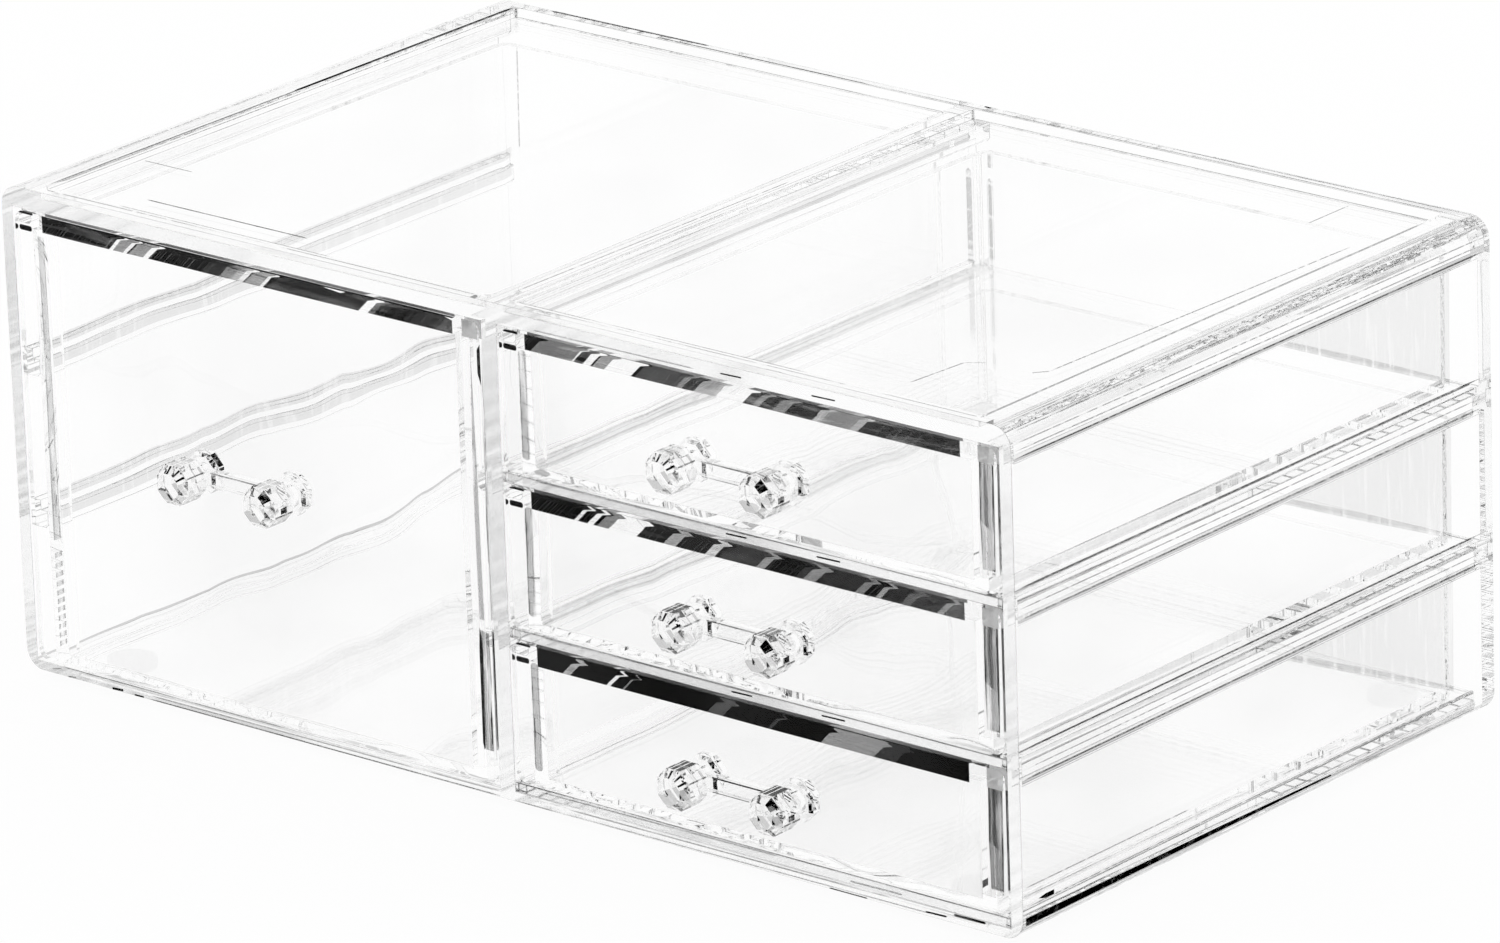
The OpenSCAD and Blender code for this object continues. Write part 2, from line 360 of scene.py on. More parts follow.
def studio_world(name, look):
    """White room, in which rounded edges also find two dimmer rings: one low and one high."""
    world = bpy.data.worlds.new(name)
    world.use_nodes = True
    tree = world.node_tree
    tree.nodes.clear()
    coord = node(tree, "ShaderNodeTexCoord").outputs["Generated"]
    way = node(tree, "ShaderNodeVectorMath", {"operation": "NORMALIZE"}, {0: coord})
    xyz = node(tree, "ShaderNodeSeparateXYZ", None, {0: way.outputs[0]})
    dim = (look.room, look.room, look.room, 1.0)
    bright = srgb("#FFFFFF")
    steps = ((0.0, bright), (0.07, dim), (0.13, dim), (0.22, bright),
             (0.46, bright), (0.58, dim), (0.68, dim), (0.80, bright))
    rings = node(tree, "ShaderNodeValToRGB", {"steps": steps}, {"Fac": xyz.outputs["Z"]})
    path = node(tree, "ShaderNodeLightPath").outputs
    plain = maths(tree, "MAXIMUM", path["Is Camera Ray"], path["Is Diffuse Ray"])
    light = node(tree, "ShaderNodeMix", {"data_type": "RGBA", 7: bright},
                 {0: plain, 6: rings.outputs[0]})
    back = node(tree, "ShaderNodeBackground", {"Strength": 1.0}, {"Color": light.outputs[2]})
    node(tree, "ShaderNodeOutputWorld", None, {"Surface": back.outputs[0]})
    return world


# ---------------------------------------------------------------- geometry

# Points of a CAD mesh closer than the first are one, and of a piece being rounded the second
CAD_WELD = 0.002 * MM
ROUND_WELD = 0.004 * MM
# Faces this close to a piece's front plane count as its front
FRONT_DEPTH = 0.1 * MM
# Share of the full rounding on thin plates
THIN_ROUND = 0.8


def in_mm(box):
    """The low and high corner of a box, in millimetres."""
    return [Vector(v) / MM for v in box]


def new_object(name, bm, *materials):
    """Links a bmesh as an object of this name, in place of an older one."""
    old = bpy.data.objects.get(name)
    if old:
        bpy.data.objects.remove(old)
    mesh = bpy.data.meshes.new(name)
    bm.to_mesh(mesh)
    bm.free()
    for mat in materials:
        mesh.materials.append(mat)
    obj = bpy.data.objects.new(name, mesh)
    bpy.context.scene.collection.objects.link(obj)
    return obj


def leaves(name, outlines, *materials):
    """Flat faces, each from an outline of points in millimetres and its material's number."""
    bm = bmesh.new()
    for points, index in outlines:
        face = bm.faces.new([bm.verts.new(Vector(p) * MM) for p in points])
        face.material_index = index
    bmesh.ops.triangulate(bm, faces=bm.faces)
    return new_object(name, bm, *materials)


def upright(points, y):
    """Points of the XZ plane, placed at y."""
    return [(x, y, z) for x, z in points]


def rectangle(low_x, high_x, low_z, high_z):
    return [(low_x, low_z), (high_x, low_z), (high_x, high_z), (low_x, high_z)]


def ragged_band(low_x, high_x, low_z, high_z, rag, seed):
    """Outline in the XZ plane of a band whose upper edge is a little ragged."""
    count = 60
    edge = []
    for i in range(count + 1):
        t = i / count
        wave = math.sin(11 * t + seed) * math.sin(29 * t + 2 * seed)
        wave += 0.5 * math.sin(71 * t + 3 * seed)
        edge.append((low_x + (high_x - low_x) * t, high_z - rag * max(0.0, wave)))
    return [(low_x, low_z), (high_x, low_z)] + edge[::-1]


def round_bar(low_x, high_x, low_z, high_z):
    """Outline in the XZ plane of a bar with round corners."""
    r = min(high_x - low_x, high_z - low_z) * 0.42
    points = []
    for cx, cz, turn in ((high_x - r, low_z + r, -90), (high_x - r, high_z - r, 0),
                         (low_x + r, high_z - r, 90), (low_x + r, low_z + r, 180)):
        for step in range(7):
            a = math.radians(turn + 15 * step)
            points.append((cx + r * math.cos(a), cz + r * math.sin(a)))
    return points


def stroke(start, end, wide, across):
    """Outline of a thin stroke that tapers at both ends."""
    run, side = end - start, across * wide / 2
    return [start, start + run * 0.03 - side, end - run * 0.03 - side, end,
            end - run * 0.03 + side, start + run * 0.03 + side]


def merged_copy(name, names):
    """A copy of CAD nodes' meshes as one object, their loose triangles merged."""
    obj = None
    for n in names:
        bm = bmesh.new()
        bm.from_mesh(NODES[n].data)
        bmesh.ops.remove_doubles(bm, verts=bm.verts, dist=CAD_WELD)
        part = new_object(name if obj is None else name + "_" + n, bm)
        if obj is None:
            obj = part
            continue
        mod = obj.modifiers.new("join", "BOOLEAN")
        mod.operation = "UNION"
        mod.solver = "EXACT"
        mod.object = part
        deps = bpy.context.evaluated_depsgraph_get()
        deps.update()
        whole = bpy.data.meshes.new_from_object(obj.evaluated_get(deps))
        obj.modifiers.clear()
        obj.data = whole
        bpy.data.objects.remove(part)
    return obj


def dress(obj, materials, edge_round, skin, front_y=None):
    """Rounds a piece's edges, draws its skin in by a hair and gives it materials.

    The materials are for its walls, its rounded edges and its faces in front of front_y.
    """
    bm = bmesh.new()
    bm.from_mesh(obj.data)
    bmesh.ops.remove_doubles(bm, verts=bm.verts, dist=ROUND_WELD)
    bmesh.ops.dissolve_limit(bm, angle_limit=math.radians(1), verts=bm.verts, edges=bm.edges)
    bm.normal_update()
    if edge_round:
        sharp = math.radians(25)
        edges = [e for e in bm.edges if e.is_manifold and e.calc_face_angle(0) > sharp]
        bmesh.ops.bevel(bm, geom=edges, offset=edge_round, offset_type="OFFSET", segments=2,
                        profile=0.5, affect="EDGES", clamp_overlap=True, material=1)
        bmesh.ops.remove_doubles(bm, verts=bm.verts, dist=ROUND_WELD)
    bmesh.ops.triangulate(bm, faces=bm.faces)
    bm.normal_update()
    for v in bm.verts:
        v.co -= v.normal * skin
    for f in bm.faces:
        f.smooth = False
        in_front = front_y is not None and f.calc_center_median().y < front_y
        if in_front and f.material_index == 0:
            f.material_index = 2
    mesh = bpy.data.meshes.new(obj.name + "_mesh")
    bm.to_mesh(mesh)
    bm.free()
    for mat in materials:
        mesh.materials.append(mat)
    obj.data = mesh
    return obj


def wall_acrylics(edge="case_edge", strength=1.0):
    """Materials of a moulded piece: its walls, and its edges with the strength of their painted
    shade lines.
    """
    look = bpy.context.scene.case_acrylic
    return [clear_acrylic("moulded_acrylic", look, look.wave_height, look.wave_size),
            edge_acrylic(edge, look, look.line_low * strength, look.line_high * strength)]


# ---------------------------------------------------------------- case and drawers

class CaseBody(bpy.types.Operator):
    """Case with its divider, back and rails as one clear body"""
    bl_idname = "drawer_case.case_body"
    bl_label = "Case Body"

    def execute(self, context):
        look = context.scene.case_acrylic
        names = ["case_shell", "back_panel", "divider", "rails_left_wall", "rails_divider_left",
                 "rails_divider_right", "rails_right_wall"]
        obj = merged_copy("case_body", names)
        dress(obj, wall_acrylics() + [satin_acrylic("satin_acrylic", look)], look.edge_round,
              look.skin, front_y=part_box("case_shell")[0][1] + FRONT_DEPTH)
        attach(obj, "case")
        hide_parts(*names)
        return {"FINISHED"}


class Shelves(bpy.types.Operator):
    """Three shelves of the right compartment"""
    bl_idname = "drawer_case.shelves"
    bl_label = "Shelves"

    def execute(self, context):
        look = context.scene.case_acrylic
        for n in SHELVES:
            obj = merged_copy("plate_" + n, [n])
            dress(obj, wall_acrylics() + [satin_acrylic("satin_acrylic", look)],
                  look.edge_round * THIN_ROUND, look.skin, front_y=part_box(n)[0][1] + FRONT_DEPTH)
            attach(obj, "case")
            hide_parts(n)
        return {"FINISHED"}


class Drawers(bpy.types.Operator):
    """Drawer trays, each one piece with its wavy front panel"""
    bl_idname = "drawer_case.drawers"
    bl_label = "Drawers"

    def execute(self, context):
        look = context.scene.case_acrylic
        panel = clear_acrylic("panel_acrylic", look, look.panel_wave_height, look.panel_wave_size)
        for n in DRAWERS:
            obj = merged_copy("drawer_body_" + n, ["tray_" + n, "front_" + n])
            panel_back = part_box("tray_" + n)[0][1] + FRONT_DEPTH
            dress(obj, wall_acrylics("drawer_edge", 0.35) + [panel], look.edge_round * THIN_ROUND,
                  look.skin, front_y=panel_back)
            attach(obj, "drawer_" + n)
            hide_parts("tray_" + n, "front_" + n)
        return {"FINISHED"}


# ---------------------------------------------------------------- shades behind the fronts

# Sizes from here on are in millimetres, and those of whole outlines are in the shared frame.
TRAY_WALL = 2.2
# Leaves that cover one another lie this far apart
LEAF_GAP = 0.02
# A leaf on a face lies this far over it
LEAF_OVER = 0.01

# Painted reflection stripes of each bead: where one starts, from the left at the lower edge, and
# how clear it is
BEAD_STRIPES = {
    "tall": (
        (0, 0.0), (18.8, 0.12), (19.3, 0.0), (20.3, 0.92), (21.6, 0.28), (24.8, 0.9), (26.3, 0.02),
        (27, 0.3), (31, 0.95), (32.8, 0.0), (49, 0.02), (55, 0.25), (58, 0.45), (60.4, 0.85),
        (62, 0.12), (63, 0.35), (67.4, 0.85), (68.6, 0.0), (69.6, 0.02), (97, 0.97), (99.6, 0.15),
        (101.5, 0.01), (112, 0.03), (120, 0.08)),
    "top": (
        (0, 0.0), (1.2, 0.17), (13.2, 0.8), (14, 0.0), (16.8, 0.9), (18.6, 0.0), (19.4, 0.3),
        (22.6, 0.95), (30.6, 0.0), (31.6, 0.06), (43.6, 0.22), (45.4, 0.05), (48.4, 0.45),
        (54.6, 0.95), (63, 0.07), (65.8, 0.28), (67.2, 0.04), (71.2, 0.24), (74.8, 0.03),
        (82.6, 0.42), (84.6, 0.24), (93, 0.42), (95.4, 0.03)),
    "middle": (
        (0, 0.0), (12, 0.85), (13, 0.0), (16, 0.9), (17.8, 0.0), (18.9, 0.22), (22.3, 0.95),
        (30.6, 0.0), (38.8, 0.33), (42, 0.0), (50.2, 0.65), (53.2, 0.0), (54.4, 0.03), (65, 0.28),
        (67, 0.0), (76, 0.03), (78.6, 0.25), (82, 0.02), (93, 0.2), (95.6, 0.0), (98.6, 0.3),
        (100.5, 0.02), (106, 0.12), (109, 0.04), (116, 0.3), (118, 0.1), (124, 0.2)),
    "bottom": (
        (0, 0.0), (7, 0.4), (9.4, 0.0), (20.2, 0.85), (20.9, 0.0), (24.6, 0.2), (25, 0.0),
        (49, 0.08), (53.5, 0.0), (66.6, 0.04), (68, 0.0), (82, 0.3), (97, 0.03), (103, 0.0)),
}
BEAD_SPAN = 144
# Each bead's dark reflection: how far its ends lie in from the tray's walls, its upper and lower
# edge under the panel's top, how ragged it is, its fine streaks and its brush strokes
BEAD_SHAPE = {"tall": (1.0, 2.7, 0.65, 4.75, 0.8, 0.06, 0.06),
              "top": (0.2, 4.8, 0.25, 4.35, 0.35, 0.1, 0.12),
              "middle": (0.2, 4.8, 0.25, 4.85, 0.35, 0.04, 0.02),
              "bottom": (0.2, 4.8, 0.5, 5.3, 0.35, 0.0, 0.0)}
# Painted dark reflections, as bars in each front's upper left corner: length, and lower and upper
# edge under the top
CORNER_BARS = ((4.4, 1.15, 0.6), (3.9, 5.2, 3.9))

# The films of an edge shade
BEAD, BLACK, RIB, WALL, SIDE, GLINT = range(6)
# The shallow fronts' painted reflection bar at the right: its ends in X, how far it lies above the
# panel's foot and under its top, and the share of its height that its paler lower part takes
RIB_LEFT, RIB_RIGHT = 138.9, 143.0
RIB_FOOT, RIB_HEAD = 4.6, 4.2
RIB_SPLIT = 0.45
# Clearness of that bar, below and above
RIB_TONES = {"top": (0.6, 0.4), "middle": (0.45, 0.25), "bottom": (0.3, 0.14)}
# The shallow fronts' painted reflection bar at the left: its ends in X
SIDE_LEFT, SIDE_RIGHT = 7.5, 9.7
# Outlines in the XZ plane of the tall front's painted reflection bars, each with its film
TALL_RIB = [
    ([(-7.7, 12.5), (-4.7, 12.5), (-4.4, 26), (-4.9, 41), (-7.4, 41.5)], RIB),
    ([(-7.5, 12.5), (-7.2, 13), (-7.0, 30), (-6.8, 36), (-7.1, 40), (-7.6, 42), (-7.9, 36),
      (-7.8, 26), (-7.9, 14)], BLACK),
    ([(-5.2, 14), (-4.9, 14.5), (-4.8, 19), (-5.0, 25), (-5.3, 20)], BLACK),
    ([(-4.0, 10.5), (-3.7, 11), (-3.6, 30), (-3.9, 45), (-4.0, 30)], WALL),
    ([(-7.4, 44), (-6.0, 44), (-6.2, 75), (-6.8, 109), (-7.6, 76)], WALL),
    ([(-4.0, 58), (-3.6, 60), (-3.5, 70), (-3.6, 77), (-3.9, 77.5), (-4.1, 68)], BLACK),
    ([(-3.9, 84), (-3.5, 84), (-3.2, 108), (-4.0, 110), (-4.9, 108.5), (-4.9, 103), (-3.9, 100)],
     BLACK),
]
TALL_WALL = [([(-139.2, z), (-139.2, z + 1.25), (-136.9, z + 2.5), (-136.9, z + 1.25)], WALL)
             for z in (9.0, 11.1, 13.2, 15.3, 17.4, 19.5, 21.6, 23.8, 26.1, 28.4, 31.0)]
TALL_WALL.append(([(-139.2, 35.5), (-136.9, 36.5), (-137.0, 60), (-137.2, 110), (-139.0, 110),
                   (-139.1, 60)], WALL))


def bar_films(look, n):
    """Films of the painted reflection bars in a front's ribs and side walls."""
    if n == "tall":
        rib = ((0, 0.25), (1.2, 0.5), (2.1, 0.3), (3.2, 0.7))
        wall = ((0, 0.5), (0.5, 0.72), (1.9, 0.5))
        return (upright_film("rib_film_tall", look, -7.9, rib, 0.3, 0.4, seed=2),
                upright_film("wall_film_tall", look, -139.3, wall, 0.15, 0.3, seed=9))
    low, high = RIB_TONES[n]
    rib = ((0, 0.03), (0.35, high), (1.4, high * 0.5), (2.4, high * 1.3), (3.6, 0.02))
    wall = ((0, 0.2), (0.35, low), (3.6, 0.05))
    return (upright_film("rib_film_" + n, look, RIB_LEFT, rib, 0.3, 0.3, seed=5),
            upright_film("wall_film_" + n, look, RIB_LEFT, wall, 0.3, 0.45, seed=7))


def bars(n, low_z, high_z, y):
    """Outlines of the painted reflection bars in a front's ribs and side walls, each with its film.
    """
    if n == "tall":
        return [(upright(shape, y - k * LEAF_GAP), film)
                for k, (shape, film) in enumerate(TALL_RIB + TALL_WALL)]
    foot, head = low_z + RIB_FOOT, high_z - RIB_HEAD
    split = foot + (head - foot) * RIB_SPLIT
    upper = [(RIB_LEFT, split), (RIB_RIGHT, split - 2.5), (RIB_RIGHT, head - 0.4),
             (RIB_RIGHT - 0.4, head), (RIB_LEFT + 0.1, head)]
    lower = [(RIB_LEFT + 0.4, foot), (RIB_RIGHT - 0.2, foot), (RIB_RIGHT, split - 2.5),
             (RIB_LEFT, split)]
    left = round_bar(SIDE_LEFT, SIDE_RIGHT, low_z + 3, high_z - 4.6)
    return [(upright(upper, y), RIB), (upright(lower, y), WALL), (upright(left, y), SIDE)]


class EdgeShades(bpy.types.Operator):
    """Dark reflections in the bead and the upright edges behind each front"""
    bl_idname = "drawer_case.edge_shades"
    bl_label = "Edge Shades"

    def execute(self, context):
        look = context.scene.case_film
        black = plain_film("corner_film", look, 0.0, 0.0, 0.05)
        side = upright_film("side_film", look, SIDE_LEFT,
                            ((0, 0.12), (0.3, 0.5), (1.5, 0.38), (1.9, 0.55)), 0.2, 0.35, seed=7)
        glint = glint_film("glint_film", look)
        for i, n in enumerate(DRAWERS):
            low, high = in_mm(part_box("front_" + n))
            tray_low, tray_high = in_mm(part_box("tray_" + n))
            y = tray_low.y - look.depth / MM
            from_left, from_right, under_top, under_low, rag, fine, brush = BEAD_SHAPE[n]
            left = tray_low.x + TRAY_WALL + from_left
            right = tray_high.x - TRAY_WALL - from_right
            foot, edge = high.z - under_low, high.z - under_top
            bead = streaked_film("bead_film_" + n, look, Vector((left, y, foot)) * MM,
                                 BEAD_SPAN * MM, BEAD_STRIPES[n], fine, brush, hook=look.hook,
                                 seed=i + 1)
            rim = [(left, edge - 0.4), (right, edge - 0.4), (right + 0.8, edge), (left, edge)]
            outlines = [(upright(ragged_band(left, right, foot, edge, rag, i), y), BEAD),
                        (upright(rim, y - LEAF_GAP), BLACK)]
            corner = low.x + 0.2
            for long, low_z, high_z in CORNER_BARS:
                bar = round_bar(corner, corner + long, high.z - low_z, high.z - high_z)
                outlines.append((upright(bar, y), BLACK))
            outlines += bars(n, low.z, high.z, y)
            # A painted glint makes the bead's upper right end show bright, not dark
            end = rectangle(high.x - 6.2, high.x - 1.7, foot, high.z - 0.3)
            outlines.append((upright(end, y - 3 * LEAF_GAP), GLINT))
            rib, wall = bar_films(look, n)
            obj = leaves("edge_shade_" + n, outlines, bead, black, rib, wall, side, glint)
            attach(obj, "drawer_" + n)
        return {"FINISHED"}


# Painted shade on the far part of a shallow tray's side: each point in Y, and above the tray's foot
# in Z or at the tray's top; the second outline is a darker rim of painted shade that falls to the
# back
TOP = None
SIDE_SHADES = (((21, TOP), (50, 17), (87, 1.2), (87.3, TOP)),
               ((23.5, TOP), (20, TOP), (49, 16.8), (87, 0.6), (87, 1.8), (52, 17.4)))
SIDE_DEPTH = 0.3


class SideShades(bpy.types.Operator):
    """Painted shade that makes the far part of the shallow trays' right sides greyer"""
    bl_idname = "drawer_case.side_shades"
    bl_label = "Side Shades"

    def execute(self, context):
        look = context.scene.case_film
        pale = plain_film("pale_film", look, 0.88, 0.0, 0.05, lean=0.0, seed=3)
        soft = plain_film("soft_film", look, 0.72, 0.1, 0.2, lean=0.0, seed=6)
        for n in DRAWERS[1:]:
            low, high = in_mm(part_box("tray_" + n))
            outlines = []
            for i, shape in enumerate(SIDE_SHADES):
                x = high.x - SIDE_DEPTH + i * LEAF_GAP
                outlines.append(([(x, y, high.z - SIDE_DEPTH if z is TOP else low.z + z)
                                  for y, z in shape], i))
            obj = leaves("side_shade_" + n, outlines, pale, soft)
            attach(obj, "drawer_" + n)
        return {"FINISHED"}


# ---------------------------------------------------------------- painted shades and lines on the case

# Heights of the rails that show through the walls, and how deep their shades lie
RAIL_BANDS = ((39.9, 42.8), (44.4, 47.0), (77.0, 80.0), (81.6, 84.2))
RAIL_DEPTH = 0.12
# Painted dark reflection of the lowest plate's edge on the right wall: distance from the front
# edge, height
BASE_SHADES = (((0, 5.9), (110, 6.1), (110, 6.5), (70, 7.1), (0, 7.7)),
               ((4.5, 11.0), (7, 10.3), (10, 10.3), (10, 11.4), (7, 11.4)))


class CaseShades(bpy.types.Operator):
    """Painted shade on the rails, and a painted dark reflection of the lowest plate's edge on the
    right wall
    """
    bl_idname = "drawer_case.case_shades"
    bl_label = "Case Shades"

    def execute(self, context):
        look = context.scene.case_film
        shades = []
        for n in ("rails_left_wall", "rails_divider_right"):
            low, high = in_mm(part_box(n))
            x = high.x - RAIL_DEPTH
            for low_z, high_z in RAIL_BANDS:
                band = rectangle(low.y + 1, high.y - 1, low_z, high_z)
                shades.append(([(x, y, z) for y, z in band], 0))
        obj = leaves("rail_shade", shades,
                     plain_film("rail_film", look, 0.82, 0.0, 0.08, lean=0.0, seed=8))
        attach(obj, "case")

        low, high = in_mm(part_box("case_shell"))
        x, edge = high.x + LEAF_OVER, low.y + 1.0
        obj = leaves("base_shade", [([(x, edge + y, z) for y, z in shape], 0)
                                    for shape in BASE_SHADES],
                     plain_film("corner_film", look, 0.0, 0.0, 0.05))
        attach(obj, "case")
        return {"FINISHED"}


# Fine lines of painted shade on the case, by the face they lie on: start, end, width and film. The
# start and end are in X and Z on the front and back, in X and Y on the rim and its pocket, and in Y
# and Z on the right side
# Films of the painted shade lines: name, clearness, fine streaks and brush strokes
LINE_SHADE_FILMS = (("line_film_black", 0.0, 0.05, 0.1), ("line_film_dark", 0.2, 0.2, 0.3),
        ("line_film_grey", 0.45, 0.2, 0.4))
FINE_LINES = {
    "front": (
        (-111, 2.6, -2, 2.75, 0.3, 1), (-110, 3.5, -1, 3.9, 0.35, 2),
        (-138, 4.65, -68, 4.7, 0.3, 2), (-122, 2.7, -118.5, 2.9, 0.6, 0),
        (-115, 2.6, -112, 2.65, 0.4, 0), (-141, 3.4, -138, 4.1, 0.3, 2),
        (-136, 2.6, -133.5, 2.8, 0.4, 1), (10, 6.4, 80, 6.8, 0.35, 2),
        (18, 4.0, 112, 4.4, 0.35, 2), (2, 2.6, 125, 3.2, 0.28, 2),
        (129.5, 4.4, 138.5, 4.5, 0.6, 0), (121.5, 3.3, 127.5, 3.5, 0.45, 0),
        (94, 2.6, 105, 2.6, 0.3, 0), (100, 5.6, 115, 5.8, 0.45, 2),
        (67.5, 117.8, 73.6, 117.95, 0.35, 0), (93.4, 117.8, 100.2, 117.95, 0.35, 0),
        (13, 117.2, 60, 117.4, 0.3, 2),
        (67.5, 80.45, 73.6, 80.6, 0.4, 0), (93.4, 80.45, 100.2, 80.6, 0.4, 0),
        (12, 81.3, 78, 81.4, 0.3, 2),
        (67.5, 43.25, 73.6, 43.4, 0.4, 0), (93.4, 43.25, 100.2, 43.4, 0.4, 0),
        (12, 44.1, 80, 44.2, 0.3, 2)),
    "rim": (
        (-138.8, -74, -138.9, 89.8, 0.5, 1), (-138.9, 10, -139.1, 89.8, 1.0, 0),
        (-130, 92.9, -80, 92.9, 0.8, 1), (-95, 91.2, -30, 91.2, 0.5, 1),
        (-60, 91.1, 143, 91.0, 0.4, 2), (60, 92.9, 142, 92.9, 0.4, 2),
        (-115, -75.9, -50, -75.9, 0.3, 2), (5, -75.9, 90, -75.9, 0.3, 2),
        (0.8, -72, 1.5, 25, 0.35, 2), (3.6, 93.2, 5.6, 93.0, 0.7, 0)),
    "pocket": (
        (-117.6, -63.8, -67.6, -63.8, 0.5, 1), (-137.6, -42.8, -122.6, -42.8, 0.4, 2),
        (131.4, 65.2, 128.4, -39.8, 0.45, 2), (128.4, -39.8, 125.9, -42.8, 0.45, 2),
        (113.4, 88.2, 113.4, 73.2, 0.35, 2), (113.4, -43.3, 109.4, -45.8, 0.45, 2),
        (109.4, -45.8, 107.9, -62.8, 0.45, 2)),
    "back": (
        (-138.7, 110, -139.2, 84, 0.4, 2), (-3.6, 79.5, -3.6, 104.5, 1.6, 2),
        (7.1, 81.5, 7.1, 103.5, 2.2, 2), (7.2, 106.0, 7.2, 110.0, 2.0, 2)),
    "side": (
        (-78, 120.3, 86, 120.3, 0.3, 2), (-78, 117.4, 90, 117.4, 0.3, 2),
        (-78, 115.7, 90, 115.7, 0.3, 2), (-78, 114.0, 92, 114.0, 0.4, 1),
        (-78, 84.2, 90, 84.2, 0.4, 1), (-78, 79.4, 88, 79.4, 0.3, 2),
        (-78, 77.0, 90, 77.0, 0.4, 1), (-78, 46.9, 90, 46.9, 0.4, 1),
        (-78, 42.2, 88, 42.2, 0.3, 2), (-78, 39.9, 90, 39.9, 0.4, 1),
        (-78, 14.8, -20, 14.6, 0.3, 2), (-78, 10.2, 86, 10.0, 0.35, 2)),
}
# Depth of the pockets in the top, and of the back panel's inner face
POCKET_DEPTH = 2.4
BACK_DEPTH = 2.7


class FineLines(bpy.types.Operator):
    """Fine dark lines of painted shade along the plates, rims and walls of the case"""
    bl_idname = "drawer_case.fine_lines"
    bl_label = "Fine Lines"

    def execute(self, context):
        look = context.scene.case_film
        low, high = in_mm(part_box("case_shell"))
        films = [plain_film(name, look, tone, fine, brush, seed=i)
                 for i, (name, tone, fine, brush) in enumerate(LINE_SHADE_FILMS)]
        top = high.z + LEAF_OVER
        places = {"front": lambda a, b: Vector((a, low.y - LEAF_OVER, b)),
                  "rim": lambda a, b: Vector((a, b, top)),
                  "pocket": lambda a, b: Vector((a, b, top - POCKET_DEPTH)),
                  "back": lambda a, b: Vector((a, high.y - BACK_DEPTH, b)),
                  "side": lambda a, b: Vector((high.x + LEAF_OVER, a, b))}
        outlines = []
        for face, lines in FINE_LINES.items():
            place = places[face]
            for a0, b0, a1, b1, wide, film in lines:
                across = (place(b0 - b1, a1 - a0) - place(0, 0)).normalized()
                outlines.append((stroke(place(a0, b0), place(a1, b1), wide, across), film))
        obj = leaves("fine_lines", outlines, *films)
        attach(obj, "case")
        return {"FINISHED"}


# ---------------------------------------------------------------- handles and pads

KNOB_RADIUS = 5.2
# Half of the turn that one of a knob's eight facets takes, in degrees
HALF_FACET = 22.5
# Zones along a knob, from the panel outwards: distance and radius at the start and at the end
KNOB_ZONES = {"foot": (0.3, 5.2, 2.0, 5.2), "body": (6.7, 5.2, 12.5, 5.2),
              "bevel": (12.8, 5.1, 14.35, 3.55), "spot": (8.6, 5.2, 10.6, 5.2)}
# Painted reflections under the facets: zone, the facet's turn, its share from and to, and the film
DARK, GREY, PALE = range(3)
KNOB_MARKS = (("bevel", 0, 0.1, 0.9, PALE), ("bevel", -45, 0.1, 0.9, PALE),
              ("body", -45, 0.1, 0.95, PALE))
LEFT_MARKS = (("bevel", 225, 0.1, 0.95, PALE), ("bevel", 270, 0.1, 0.9, PALE),
              ("bevel", 45, 0.2, 0.36, DARK), ("bevel", 90, 0.45, 0.62, DARK),
              ("bevel", 45, 0.7, 0.84, DARK), ("body", 45, 0.05, 0.14, GREY),
              ("bevel", 180, 0.3, 0.7, GREY))
RIGHT_MARKS = (("bevel", 225, 0.05, 0.95, GREY), ("bevel", 45, 0.25, 1.0, DARK),
               ("spot", 0, 0.15, 0.5, DARK), ("bevel", 90, 0.7, 0.9, GREY),
               ("body", 0, 0.0, 0.1, GREY))
FOOT_MARKS = (("foot", 45, 0.05, 0.95, DARK), ("foot", 0, 0.75, 0.95, DARK))
# Painted reflection stripes on the knobs' upper facet, and their film on each handle's left and
# right knob
STRIPES = (("body", 90, 0.04, 0.4), ("body", 90, 0.5, 0.76), ("body", 90, 0.84, 0.96))
STRIPE_FILMS = {"tall": (PALE, PALE), "top": (PALE, PALE), "middle": (DARK, GREY),
                "bottom": (DARK, DARK)}
FACET_DEPTH = 0.18
# The bar's painted reflection lines: how far in front of the panel they lie, and their edges from
# its middle
BAR_DEPTH = 5.35
BAR_LINES = ((1.5, 1.85), (-1.9, -1.6))
# Films of the bar's upper and lower line
BAR_FILMS = {"tall": (GREY, PALE), "top": (GREY, GREY), "middle": (GREY, GREY),
             "bottom": (DARK, GREY)}


def facet_outline(centre, mark):
    """Outline of a share of one cut facet of a knob, just under the facet."""
    zone, turn, start, end = mark[:4]
    s0, r0, s1, r1 = KNOB_ZONES[zone]
    way = Vector((math.cos(math.radians(turn)), 0, math.sin(math.radians(turn))))
    points = []
    for s, r, part in ((s0, r0, start), (s0, r0, end), (s1, r1, end), (s1, r1, start)):
        corner = [math.radians(turn + step) for step in (-HALF_FACET, HALF_FACET)]
        side = [Vector((r * math.cos(a), -s, r * math.sin(a))) for a in corner]
        points.append(centre + side[0].lerp(side[1], part) - way * FACET_DEPTH)
    return points


class Handles(bpy.types.Operator):
    """Barbell handles with cut facets"""
    bl_idname = "drawer_case.handles"
    bl_label = "Handles"

    def execute(self, context):
        look = context.scene.case_acrylic
        for n in DRAWERS:
            obj = merged_copy("barbell_" + n, ["handle_" + n])
            dress(obj, wall_acrylics("facet_edge", 0.35), look.facet_round, look.skin * 2)
            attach(obj, "drawer_" + n)
            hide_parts("handle_" + n)
        return {"FINISHED"}


